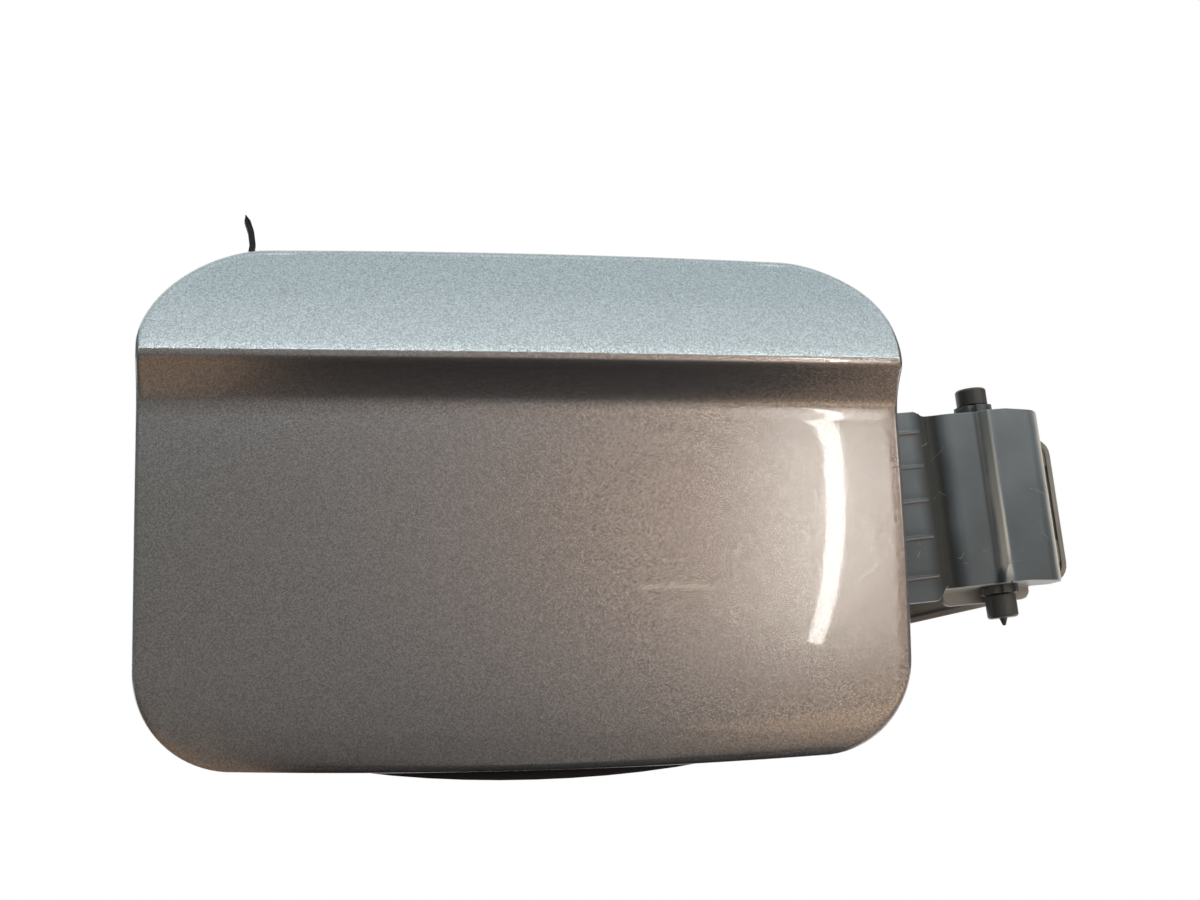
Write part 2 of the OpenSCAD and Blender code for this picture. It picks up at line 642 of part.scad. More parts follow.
// Cap holder: a cradle that carries the filler cap while the tank is filled
holder_depth = 10;
holder_foot_w = 2 * (holder_rivet_x + holder_head + joint_gap);
holder_foot_h = 10;
holder_open = 4;           // height of the cradle's ends below its middle
holder_foot_z = holder_z - hook_r - 5;
module cap_holder()
    color([0.08, 0.08, 0.085]) difference() {
        union() {
            through_y(inner_back + seat_gap, inner_back + seat_gap + foot_t) {
                translate([holder_x - holder_foot_w / 2, holder_foot_z])
                    square([holder_foot_w, holder_foot_h]);
                translate([holder_x, holder_z]) difference() {
                    circle(hook_r + holder_wall);
                    circle(hook_r - 3);
                    translate([-2 * hook_r, -holder_open]) square(4 * hook_r);
                }
            }
            through_y(inner_back + seat_gap, inner_back + seat_gap + holder_depth)
                translate([holder_x, holder_z]) {
                    difference() {
                        circle(hook_r + holder_wall);
                        circle(hook_r);
                        translate([-2 * hook_r, -holder_open]) square(4 * hook_r);
                    }
                    for (s = [-1, 1])
                        translate([
                            s * sqrt(pow(hook_r + holder_wall / 2, 2) - holder_open * holder_open),
                            -holder_open
                        ]) circle(holder_wall * 0.7);
                }
        }
        for (s = [-1, 1])
            rod_y(holder_x + s * holder_rivet_x, holder_z - holder_rivet_down, face_y, 0, rivet_r + press_gap);
    }
module cap_holder_rivets()
    color([0.6, 0.6, 0.62]) for (s = [-1, 1])
        rivet(holder_x + s * holder_rivet_x, holder_z - holder_rivet_down, inner_front - seat_gap,
            inner_back + 2 * seat_gap + foot_t, rivet_r, holder_head);

// Stub of the cap's tether: an eye on the stud and a tail over the top edge, cut to a point
strap_front = inner_back + top_rim_back + seat_gap;
strap_line = [[0.1, 3], [-0.2, 8], [0.8, 14.5], [1.8, 20], [1.4, 23.4], [0.5, 26.2], [0.1, 27.6]];
module tether_strap()
    color([0.05, 0.05, 0.05]) difference() {
        for (tail = [0, 1]) through_y(strap_front, strap_front + strap_w) translate([stud_x, stud_z]) {
            if (tail == 0) circle(eye_r);
            else polygon(concat(
                [for (i = [0 : len(strap_line) - 1]) strap_line[i]
                    + [-strap_t / 2 * (i == len(strap_line) - 1 ? 0.1 : 1), 0]],
                [for (i = [len(strap_line) - 1 : -1 : 0]) strap_line[i]
                    + [strap_t / 2 * (i == len(strap_line) - 1 ? 0.1 : 1), 0]]
            ));
        }
        rod_y(stud_x, stud_z, strap_front - 1, strap_front + strap_w + 1, stud_r + press_gap);
    }
module tether_stud()
    color([0.1, 0.1, 0.1]) translate([stud_x, 0, stud_z]) rotate([-90, 0, 0]) rotate_extrude()
        polygon([
            [0, stud_front - 1.5], [stud_r * 0.8, stud_front - 1.5], [stud_r + 1, stud_front],
            [stud_r, stud_front], [stud_r, strap_front + strap_w + seat_gap],
            [4, strap_front + strap_w + seat_gap], [4, strap_front + strap_w + 1],
            [3, strap_front + strap_w + 1.7], [0, strap_front + strap_w + 1.7]
        ]);

// Hinge base: plate with raised rim and two slanting ears that hold the pins
plate_front = axis_stand - base_t;
base_corner = 5;
base_right = 28.8;
base_left = -31;
base_up = 18.2;
base_low = 22.5;            // lower edge of the base's right part
base_down = 30.5;
base_rise = 3.2;            // rise of the lower edge from the left to the middle
function base_arc(x, s, from, inset) = [for (a = [from : 15 : from + 90])
    [x, s] + (base_corner - inset) * [sin(a), cos(a)]];
function base_outline(inset) = concat(
    base_arc(base_right - base_corner, base_up - base_corner, 0, inset),
    base_arc(base_right - base_corner, -base_low + base_corner, 90, inset),
    [[14, -base_low + inset]],
    base_arc(3, -base_down + base_rise + base_corner, 90, inset),
    base_arc(base_left + base_corner, -base_down + base_corner, 180, inset),
    base_arc(base_left + base_corner, base_up - base_corner, 270, inset)
);
ear_foot = [-19.5, -8.5];
fixing_spots = [[23.5, 13], [23.5, -14], [-25, -3]];
rim_h = 0.9;
blind_end = axis_stand - 0.7;   // floor of the holes for the spring rivets and the stop
module hinge_base() {
    color([0.12, 0.13, 0.14]) on_hinge() difference() {
        union() {
            through_y(plate_front, axis_stand) polygon(base_outline(0));
            through_y(plate_front - rim_h, axis_stand - 1) difference() {
                polygon(base_outline(0));
                polygon(base_outline(1.6));
            }
            for (s = [-1, 1])
                translate([0, 0, s * (ear_out - ear_t / 2) - ear_t / 2]) linear_extrude(ear_t) {
                    circle(ear_r);
                    polygon([
                        [ear_r * 0.788, ear_r * 0.616], [ear_foot[1], plate_front + 1],
                        [ear_foot[0], plate_front + 1], [-ear_r * 0.788, -ear_r * 0.616]
                    ]);
                }
            for (f = fixing_spots)
                rod_y(f[0], f[1], plate_front - 0.8, axis_stand - 1, fixing_r + 2);
        }
        for (s = [-1, 1])
            translate([0, 0, s * (ear_out - ear_t / 2) - ear_t])
                cylinder(h = 2 * ear_t, r = pin_r + press_gap);
        for (f = fixing_spots)
            rod_y(f[0], f[1], 0, axis_stand + 1, fixing_r);
        for (x = spring_rivet_x)
            rod_y(x, 0, 0, blind_end, spring_rivet_r + press_gap);
        rod_y(stop_x, 0, 0, blind_end, stop_r / 2 + press_gap);
    }
}

// Pins: shank pressed in the ear, head outside the bush. The lower one has a pointed end.
collar_start = arm_h / 2 + seat_gap / 2;
head_start = collar_start + collar_h + joint_gap;
pin_inner = ear_out - ear_t - 0.8;
module hinge_pin(long, point)
    rotate_extrude() polygon(concat(
        [[0, pin_inner], [pin_r - 0.5, pin_inner], [pin_r, pin_inner + 0.5], [pin_r, head_start],
         [head_r, head_start], [head_r, head_start + long - 0.5], [head_r - 0.5, head_start + long]],
        point > 0 ? [[1.1, head_start + long], [0.4, head_start + long + point]] : [],
        [[0, head_start + long + point]]
    ));
module upper_pin()
    color([0.07, 0.07, 0.08]) on_hinge() difference() {
        hinge_pin(head_h, 0);
        translate([0, 0, head_start + head_h - 1.2]) cylinder(h = 3, r = 1.6, $fn = 6);
    }
module lower_pin()
    color([0.07, 0.07, 0.08]) on_hinge() mirror([0, 0, 1]) hinge_pin(low_head_h, 2);

// Bushes: sleeve in the arm's cheek with a notched collar outside it
notch_r = 1;
module hinge_bush()
    difference() {
        union() {
            translate([0, 0, arm_h / 2 - cheek_t]) cylinder(h = cheek_t + 1, r = bush_r);
            translate([0, 0, collar_start]) cylinder(h = collar_h, r = collar_r);
        }
        translate([0, 0, arm_h / 2 - cheek_t - 1])
            cylinder(h = cheek_t + collar_h + 3, r = pin_r + pin_gap);
        for (a = [22.5 : 45 : 359])
            rotate([0, 0, a]) translate([collar_r + 0.2, 0, collar_start - 1])
                cylinder(h = collar_h + 2, r = notch_r);
    }
module upper_bush() color([0.1, 0.11, 0.12]) on_hinge() hinge_bush();
module lower_bush() color([0.1, 0.11, 0.12]) on_hinge() mirror([0, 0, 1]) hinge_bush();

// Snap spring: a bent leaf whose blade bears on the arm's detent cam
leaf_t = 0.6;
leaf_w = 8;
leaf_x = -cam_r - joint_gap;
leaf_bend = 2;
leaf_seat = plate_front - seat_gap;
module snap_spring()
    color([0.5, 0.51, 0.53]) on_hinge() difference() {
        translate([0, 0, -leaf_w / 2]) linear_extrude(leaf_w) polygon(concat(
            [[-18, leaf_seat], [-18, leaf_seat - leaf_t]],
            [for (a = [0 : 15 : 90]) [
                leaf_x - leaf_t - leaf_bend + leaf_bend * sin(a),
                leaf_seat - leaf_t - leaf_bend + leaf_bend * cos(a)
            ]],
            [[leaf_x - leaf_t, -1], [leaf_x - leaf_t - 0.9, -2.6], [leaf_x - 0.3, -2.8], [leaf_x, -1.2]],
            [for (a = [90 : -15 : 0]) [
                leaf_x - leaf_t - leaf_bend + (leaf_bend + leaf_t) * sin(a),
                leaf_seat - leaf_t - leaf_bend + (leaf_bend + leaf_t) * cos(a)
            ]]
        ));
        for (x = spring_rivet_x)
            rod_y(x, 0, 0, axis_stand, spring_rivet_r + press_gap);
    }
module spring_rivets()
    color([0.6, 0.6, 0.62]) on_hinge() for (x = spring_rivet_x)
        translate([x, 0, 0]) rotate([-90, 0, 0]) rotate_extrude() polygon([
            [0, leaf_seat - leaf_t - 1], [1.2, leaf_seat - leaf_t - 1],
            [1.9, leaf_seat - leaf_t - 0.4], [1.9, leaf_seat - leaf_t - seat_gap],
            [spring_rivet_r, leaf_seat - leaf_t - seat_gap],
            [spring_rivet_r, blind_end - seat_gap], [0, blind_end - seat_gap]
        ]);

// Rubber stop that meets the arm's far wall when the door is fully open
module stop_buffer()
    color([0.06, 0.06, 0.06]) on_hinge() translate([stop_x, 0, 0]) rotate([-90, 0, 0])
        rotate_extrude() polygon([
            [0, plate_front - stop_h], [stop_r - 0.8, plate_front - stop_h],
            [stop_r, plate_front - stop_h + 0.8], [stop_r, plate_front - seat_gap],
            [stop_r / 2, plate_front - seat_gap], [stop_r / 2, blind_end - seat_gap], [0, blind_end - seat_gap]
        ]);

outer_panel();
inner_panel();
bonding_pads();
hinge_arm();
arm_screws();
latch_striker();
striker_rivets();
rubber_buffers();
cap_holder();
cap_holder_rivets();
tether_strap();
tether_stud();
hinge_base();
upper_pin();
lower_pin();
upper_bush();
lower_bush();
snap_spring();
spring_rivets();
stop_buffer();
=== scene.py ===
from math import cos, pi, radians, sin

import bpy
from mathutils import Matrix, Vector


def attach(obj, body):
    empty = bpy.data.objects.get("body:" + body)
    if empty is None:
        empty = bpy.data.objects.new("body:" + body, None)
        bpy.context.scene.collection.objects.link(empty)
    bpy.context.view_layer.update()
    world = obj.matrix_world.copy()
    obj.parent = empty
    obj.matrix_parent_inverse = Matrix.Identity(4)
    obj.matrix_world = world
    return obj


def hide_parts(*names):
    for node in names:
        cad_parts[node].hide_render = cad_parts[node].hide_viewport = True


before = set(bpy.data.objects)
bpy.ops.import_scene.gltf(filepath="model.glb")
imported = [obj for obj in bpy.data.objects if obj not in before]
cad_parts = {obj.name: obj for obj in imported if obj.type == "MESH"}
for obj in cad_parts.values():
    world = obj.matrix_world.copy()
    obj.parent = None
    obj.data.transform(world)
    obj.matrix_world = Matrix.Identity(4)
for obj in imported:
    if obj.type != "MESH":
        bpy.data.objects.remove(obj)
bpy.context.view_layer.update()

# Studio: a white floor under a white backdrop, with glowing screens in front, overhead and
# below that stand in for the room the door was photographed in, and soft lamps on the
# right and low down. The camera stands low and a little to the left.
scene = bpy.context.scene
scene.view_settings.view_transform = "Standard"

panel_x = -0.125
face_y = -0.037
panel_low = -0.066
camera_azimuth = radians(-11.02)
camera_elevation = radians(-10.0)
camera_roll = radians(-1.74)
camera_distance = 0.4514
camera_target = Vector((panel_x + 0.01726, face_y, panel_low + 0.07634))

towards = Vector((
    sin(camera_azimuth) * cos(camera_elevation),
    -cos(camera_azimuth) * cos(camera_elevation),
    sin(camera_elevation),
))
level_right = (-towards).cross(Vector((0, 0, 1))).normalized()
level_up = level_right.cross(-towards)
image_right = level_right * cos(camera_roll) + level_up * sin(camera_roll)
image_up = level_up * cos(camera_roll) - level_right * sin(camera_roll)
camera_data = bpy.data.cameras.new("camera")
camera = bpy.data.objects.new("camera", camera_data)
scene.collection.objects.link(camera)
camera_turn = Matrix((image_right, image_up, towards)).transposed()
camera.matrix_world = Matrix.Translation(camera_target + towards * camera_distance) @ camera_turn.to_4x4()
camera_data.sensor_width = 36
camera_data.lens = 54.48
camera_data.clip_start = 0.01
scene.camera = camera


def new_material(name):
    material = bpy.data.materials.new(name)
    material.use_nodes = True
    nodes = material.node_tree.nodes
    nodes.clear()
    return material, nodes, material.node_tree.links


def white_to_the_eye(nodes, links, shader, white, output):
    # Camera, mirror and glass rays meet the white shader, and all others meet the first one
    path = nodes.new("ShaderNodeLightPath")
    share = path.outputs["Is Camera Ray"]
    for kind in ("Is Transmission Ray", "Is Glossy Ray"):
        either = nodes.new("ShaderNodeMath")
        either.operation = "MAXIMUM"
        links.new(share, either.inputs[0])
        links.new(path.outputs[kind], either.inputs[1])
        share = either.outputs[0]
    mix = nodes.new("ShaderNodeMixShader")
    links.new(share, mix.inputs[0])
    links.new(shader.outputs[0], mix.inputs[1])
    links.new(white.outputs[0], mix.inputs[2])
    links.new(mix.outputs[0], nodes.new(output).inputs["Surface"])


world = bpy.data.worlds.new("room")
scene.world = world
world.use_nodes = True
nodes, links = world.node_tree.nodes, world.node_tree.links
nodes.clear()
room_light = nodes.new("ShaderNodeBackground")
room_light.inputs["Color"].default_value = (0.92, 0.96, 1.0, 1)
room_light.inputs["Strength"].default_value = 0.15
backdrop = nodes.new("ShaderNodeBackground")
backdrop.inputs["Color"].default_value = (1, 1, 1, 1)
backdrop.inputs["Strength"].default_value = 1.0
white_to_the_eye(nodes, links, room_light, backdrop, "ShaderNodeOutputWorld")

floor_z = -0.17
bpy.ops.object.select_all(action="DESELECT")
bpy.ops.mesh.primitive_plane_add(size=6, location=(0, 0, floor_z))
floor = bpy.context.object
floor.name = "floor"
material, nodes, links = new_material("white_floor")
diffuse = nodes.new("ShaderNodeBsdfDiffuse")
diffuse.inputs["Color"].default_value = (0.9, 0.9, 0.9, 1)
plain = nodes.new("ShaderNodeEmission")
plain.inputs["Color"].default_value = (1, 1, 1, 1)
plain.inputs["Strength"].default_value = 1.0
white_to_the_eye(nodes, links, diffuse, plain, "ShaderNodeOutputMaterial")
floor.data.materials.append(material)

warm_spot_x, warm_spot_z = 0.46, 0.28


def screen(name, corners, glow, strength=1.0):
    # A flat studio screen that glows and stays out of the picture. The glow is one colour,
    # or a list of stops that spread round the warm spot on the right.
    mesh = bpy.data.meshes.new(name)
    mesh.from_pydata(corners, [], [tuple(range(len(corners)))])
    card = bpy.data.objects.new(name, mesh)
    scene.collection.objects.link(card)
    material, nodes, links = new_material(name)
    light = nodes.new("ShaderNodeEmission")
    light.inputs["Strength"].default_value = strength
    if isinstance(glow, list):
        place = nodes.new("ShaderNodeTexCoord")
        spread = nodes.new("ShaderNodeMapping")
        spread.inputs["Location"].default_value = (-warm_spot_x, 0, -warm_spot_z)
        spread.inputs["Scale"].default_value = (1, 0, 1.2)
        links.new(place.outputs["Object"], spread.inputs["Vector"])
        reach = nodes.new("ShaderNodeVectorMath")
        reach.operation = "LENGTH"
        links.new(spread.outputs[0], reach.inputs[0])
        ramp = nodes.new("ShaderNodeValToRGB")
        ramp.color_ramp.interpolation = "EASE"
        for stop, colour in glow[1:-1]:
            ramp.color_ramp.elements.new(stop)
        for element, (stop, colour) in zip(ramp.color_ramp.elements, glow):
            element.position = stop
            element.color = (*colour, 1)
        links.new(reach.outputs["Value"], ramp.inputs[0])
        links.new(ramp.outputs[0], light.inputs["Color"])
    else:
        light.inputs["Color"].default_value = (*glow, 1)
    links.new(light.outputs[0], nodes.new("ShaderNodeOutputMaterial").inputs["Surface"])
    mesh.materials.append(material)
    card.visible_camera = False


def wall(name, left, right, low, high, glow, strength=1.0):
    # A screen that spans from left to right, between two (depth, height) edges
    screen(name, [(left, *low), (right, *low), (right, *high), (left, *high)], glow, strength)


# In front: warm and bright on the right, dim on the left. Overhead: pale blue, brightest
# low down. Below: a dark one with brown and grey ones round it.
front_y = -1.1
low_z = -0.15
low_front_y = -0.65
low_back_y = 0.12
wall("screen_front", -2.2, 1.8, (front_y, low_z), (front_y, 0.72), [
    (0.0, (0.38, 0.236, 0.154)), (0.26, (0.46, 0.292, 0.198)), (0.34, (0.44, 0.315, 0.24)),
    (0.44, (0.325, 0.262, 0.235)), (0.54, (0.255, 0.222, 0.207)), (0.64, (0.185, 0.17, 0.165)),
    (0.85, (0.165, 0.155, 0.145)),
])
wall("screen_above", -2.0, 1.8, (front_y, 0.72), (front_y, 0.98), (1.15, 1.36, 1.42))
wall("screen_high", -2.0, 1.8, (front_y, 0.98), (front_y, 1.15), (0.95, 1.10, 1.16))
wall("screen_slant", -2.0, 1.8, (front_y, 1.15), (-0.75, 1.15), (0.78, 0.92, 0.97))
wall("screen_top", -2.0, 1.8, (-0.75, 1.15), (0.3, 1.3), (0.63, 0.77, 0.82))
for name, front_left, front_right, back_right, back_left, back_y, glow in (
    ("screen_low_left", -0.33, -0.24, -0.18, -0.33, low_back_y, (0.25, 0.175, 0.125)),
    ("screen_low_far_left", -1.4, -0.33, -0.33, -1.4, low_back_y, (0.11, 0.10, 0.09)),
    ("screen_low", -0.24, 0.12, 0.0, -0.18, low_back_y, (0.016, 0.014, 0.015)),
    ("screen_low_right", 0.12, 1.2, 1.2, 0.0, -0.04, (0.26, 0.18, 0.13)),
):
    screen(name, [
        (front_left, low_front_y, low_z), (front_right, low_front_y, low_z),
        (back_right, back_y, low_z), (back_left, back_y, low_z),
    ], glow)
wall("screen_low_front", -2.2, 0.18, (front_y, low_z), (low_front_y, low_z), (0.10, 0.086, 0.077))
wall("screen_front_right", 0.18, 1.8, (front_y, low_z), (low_front_y, low_z), (1.05, 0.72, 0.46))
# A grey one stands on each side, so that the rolled rim does not mirror the backdrop
side_back_y = 1.2
side_top = 1.1
for name, side, glow in (
    ("screen_right", 1.3, (0.10, 0.09, 0.08)),
    ("screen_left", -1.5, (0.15, 0.16, 0.16)),
):
    screen(name, [
        (side, front_y, low_z), (side, side_back_y, low_z),
        (side, side_back_y, side_top), (side, front_y, side_top),
    ], glow)
# Just in front of the front screen: a long thin lamp across the room and a faint one low down
lamp_y = -1.09
wall("long_lamp", -2.0, 1.8, (lamp_y, 0.70), (lamp_y, 0.715), (0.95, 1.0, 1.0), 14)
wall("faint_lamp", 0.142, 0.215, (lamp_y, 0.077), (lamp_y, 0.084), (1.0, 0.8, 0.55), 3)
strip_top = 0.308
hook_under = [(0.298, 0.357), (0.325, 0.353), (0.344, 0.343)]
hook_over = [(0.370, 0.343), (0.349, 0.362), (0.313, 0.365)]


def strip_edge(top_x, lean, bend, length):
    # Points down one edge of the strip lamp, which leans and bends to the left
    drops = [length * k / 8 for k in range(9)]
    return [(top_x - lean * drop - bend * drop ** 3, strip_top - drop) for drop in drops]


# Bent strip lamp on the right, with its top hooked to the left
left_edge = strip_edge(0.350, 0.045, 0.73, 0.314)
right_edge = strip_edge(0.372, 0.055, 0.78, 0.321)
strip_outline = hook_under + left_edge + right_edge[::-1] + hook_over
screen("strip_lamp", [(x, lamp_y, z) for x, z in strip_outline], (1.0, 0.96, 0.90), 14)


def softbox(name, place, aim, width, height, power, colour):
    data = bpy.data.lights.new(name, "AREA")
    data.shape = "RECTANGLE"
    data.size, data.size_y = width, height
    data.energy = power
    data.color = colour
    lamp = bpy.data.objects.new(name, data)
    scene.collection.objects.link(lamp)
    lamp.location = place
    lamp.rotation_euler = (Vector(aim) - Vector(place)).to_track_quat("-Z", "Y").to_euler()
    return lamp


softbox("softbox_right", (0.9, -1.0, 0.45), (0, 0, 0), 0.5, 0.5, 0.9, (1.0, 0.84, 0.68))
# Two more that light only what is matt: a large one on the right, a small one low down
for lamp in (
    softbox("softbox_side", (0.9, -0.75, 0.5), (0, 0, 0), 0.5, 0.5, 10, (0.95, 0.99, 1.0)),
    softbox("softbox_low", (0.02, -0.09, -0.145), (-0.005, -0.02, -0.03), 0.12, 0.1, 0.13,
            (1.0, 0.97, 0.92)),
):
    lamp.visible_glossy = False

# Outer panel: the painted steel skin that shows on the car's wing. It is pressed from
# sheet with one sharp crease, its edge is rolled back and hemmed, and it is painted
# in a grey metallic base coat under a clear coat.
sheet_t = 0.0009
half_w = 0.095
panel_top = 0.0613
crease_z = 0.0332
valley_z = 0.0192
crease_proud = 0.00584
crease_lip, lip_rise = 0.00006, 0.0006
top_lean, top_hollow = 0.004, 0.0032
down_crown, side_crown = 0.0048, 0.0012
settle_h, settle_depth = 0.0014, 0.000026
top_corner = (0.031, 0.0263)
corner_power = 1.75
low_corner = (0.0235, 0.0235)
flare, flare_h = 0.001, 0.060
corner_flare = 0.0023
top_bow, low_bow = 0.0005, 0.0016
rim_y = face_y + 0.0046
rim_lean = 0.004


def clamp01(t):
    return max(0.0, min(1.0, t))


def up_the_top(z):
    return clamp01((z - crease_z) / (panel_top - crease_z))


# How far the face has come back at each step below the crease: it starts level, dips fast
# and runs out softly in the valley
band_steps = 240
band_fall = [0.0]
for k in range(band_steps):
    t = k / band_steps
    band_fall.append(band_fall[-1] + clamp01((t - 0.04) / 0.16) ** 1.3 * (1 - t) ** 1.2)


def face_depth(z):
    # How far the face lies behind the valley's plane at a height
    if z > crease_z:
        t = (z - crease_z) / (panel_top - crease_z)
        lip = crease_lip * max(0.0, 1 - (z - crease_z) / lip_rise) ** 2
        return -crease_proud + (top_lean + crease_proud) * t - top_hollow * t * (1 - t) + lip
    if z > valley_z:
        t = (crease_z - z) / (crease_z - valley_z)
        k = min(int(band_steps * t), band_steps - 1)
        fallen = band_fall[k] + (band_steps * t - k) * (band_fall[k + 1] - band_fall[k])
        return -crease_proud * (1 - fallen / band_fall[-1]) + crease_lip * (1 - t) ** 9
    t = (valley_z - z) / (valley_z - panel_low)
    settled = clamp01((valley_z - z) / settle_h)
    return -down_crown * t * (1 - t) + settle_depth * (1 - (1 - settled) ** 3)


# Heights of the sheet's rows between its corners: close together at the crease and in the
# valley, where the face turns fast
fine_step = 0.0001
band_h = crease_z - valley_z
flat_h = valley_z - panel_low - low_corner[1]
near_crease = (14, 10, 8, 6, 4, 2, 0, -2, -4, -6, -8, -10, -12, -14, -17, -20)
down_band = (0.17, 0.2, 0.24, 0.3, 0.38, 0.46, 0.54, 0.62, 0.7, 0.77, 0.83, 0.89, 0.95)
z_steps = [crease_z + fine_step * k for k in near_crease]
z_steps += [crease_z - band_h * t for t in down_band]
z_steps += [valley_z - 3 * fine_step * k for k in range(6)]
z_steps += [valley_z - flat_h * k / 24 for k in range(1, 24)]
# Each row: its height, its half width, and how far an inset of 1 lowers and narrows it. The
# top corners are flatter than a quarter ellipse, and the low ones are quarter circles
arc_steps = 20
rows = []
for i in range(arc_steps + 1):
    a = pi / 2 * (1 - i / arc_steps)
    reach, rise = max(cos(a), 0) ** (2 / corner_power), sin(a) ** (2 / corner_power)
    slope = Vector((
        reach ** (corner_power - 1) / top_corner[0],
        rise ** (corner_power - 1) / top_corner[1],
    )).normalized()
    height, half = panel_top - top_corner[1] * (1 - rise), half_w - top_corner[0] * (1 - reach)
    rows.append((height, half, slope.y, slope.x))
rows += [(z, half_w, 0, 1) for z in z_steps]
for i in range(arc_steps + 1):
    a = pi / 2 * i / arc_steps
    height, half = panel_low + low_corner[1] * (1 - sin(a)), half_w - low_corner[0] * (1 - cos(a))
    rows.append((height, half, -sin(a), cos(a)))
columns = 72


def panel_place(row, u, inset, back, to_rim):
    # Where a point of the sheet lies, by its row, its place across (-1 to 1), how far it is
    # inset from the outline and set back, and whether it lies on the face or on the rim
    z, half, down, narrow = rows[row]
    x = panel_x + u * (half - narrow * inset)
    x += flare * (1 + u) / 2 * sin(pi / 2 * clamp01((z - panel_low) / flare_h))
    corner = clamp01((z - panel_top + top_corner[1]) / (0.75 * top_corner[1]))
    x += corner_flare * (1 + u) / 2 * sin(pi / 2 * corner) ** 2
    bow = top_bow * (1 - u * u) * up_the_top(z)
    bow -= low_bow * (1 - u * u) * clamp01((panel_low + low_corner[1] - z) / low_corner[1])
    height = z - down * inset + bow
    if to_rim:
        y = rim_y + rim_lean * up_the_top(height) + back
    else:
        y = face_y + face_depth(z + bow) - side_crown * (1 - u * u) + back
    return x, y, height


def press_rows(mesh, only_selected, inset, back, to_rim):
    for vertex in mesh.vertices:
        if vertex.select or not only_selected:
            row = int(round(mesh.attributes["row"].data[vertex.index].value))
            u = mesh.attributes["across"].data[vertex.index].value
            vertex.co = panel_place(row, u, inset, back, to_rim)


bpy.ops.object.select_all(action="DESELECT")
bpy.ops.mesh.primitive_grid_add(x_subdivisions=columns, y_subdivisions=len(rows) - 1, size=2)
panel = bpy.context.object
panel.name = "painted_panel"
across = panel.data.attributes.new("across", "FLOAT", "POINT")
row_of = panel.data.attributes.new("row", "FLOAT", "POINT")
for vertex in panel.data.vertices:
    across.data[vertex.index].value = vertex.co.x
    row_of.data[vertex.index].value = (1 - vertex.co.y) / 2 * (len(rows) - 1)
# The edge is rolled back in a quarter round, then taken to the rim and hemmed inwards. Each
# turn has its inset, its setback, and whether it lies on the rim
roll = 0.0015
hem_w = 0.0055
press_rows(panel.data, False, roll, 0, False)
turns = []
for k in range(1, 6):
    a = pi / 10 * k
    turns.append((roll * (1 - sin(a)), roll * (1 - cos(a)), False))
turns += [(0, -0.0006, True), (0.0002, -0.0002, True), (0.0006, 0, True), (hem_w, 0, True)]
for inset, back, to_rim in turns:
    bpy.ops.object.mode_set(mode="EDIT")
    bpy.ops.mesh.select_all(action="DESELECT")
    bpy.ops.mesh.select_mode(type="EDGE")
    bpy.ops.mesh.select_non_manifold(extend=False, use_wire=False, use_boundary=True,
                                     use_multi_face=False, use_non_contiguous=False, use_verts=False)
    bpy.ops.mesh.extrude_region_move()
    bpy.ops.object.mode_set(mode="OBJECT")
    press_rows(panel.data, True, inset, back, to_rim)


def apply_modifier(piece, kind, **settings):
    modifier = piece.modifiers.new(kind.lower(), kind)
    for key, value in settings.items():
        setattr(modifier, key, value)
    bpy.context.view_layer.objects.active = piece
    bpy.ops.object.modifier_apply(modifier=modifier.name)


apply_modifier(panel, "SOLIDIFY", thickness=sheet_t, offset=-1)
bpy.ops.object.shade_smooth_by_angle(angle=radians(40))
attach(panel, "door")
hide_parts("outer_panel")

material, nodes, links = new_material("grey_metallic_paint")
place = nodes.new("ShaderNodeTexCoord")
flakes = nodes.new("ShaderNodeTexVoronoi")
flakes.inputs["Scale"].default_value = 3800
links.new(place.outputs["Object"], flakes.inputs["Vector"])
shade = nodes.new("ShaderNodeSeparateColor")
links.new(flakes.outputs["Color"], shade.inputs[0])
ramp = nodes.new("ShaderNodeValToRGB")
ramp.color_ramp.elements[0].color = (0.38, 0.375, 0.37, 1)
ramp.color_ramp.elements[1].color = (0.68, 0.675, 0.67, 1)
links.new(shade.outputs[0], ramp.inputs[0])
paint = nodes.new("ShaderNodeBsdfPrincipled")
links.new(ramp.outputs[0], paint.inputs["Base Color"])
paint.inputs["Metallic"].default_value = 0.9
paint.inputs["Roughness"].default_value = 0.24
paint.inputs["Coat Weight"].default_value = 1.0
paint.inputs["Coat Roughness"].default_value = 0.03
links.new(paint.outputs[0], nodes.new("ShaderNodeOutputMaterial").inputs["Surface"])
panel.data.materials.clear()
panel.data.materials.append(material)


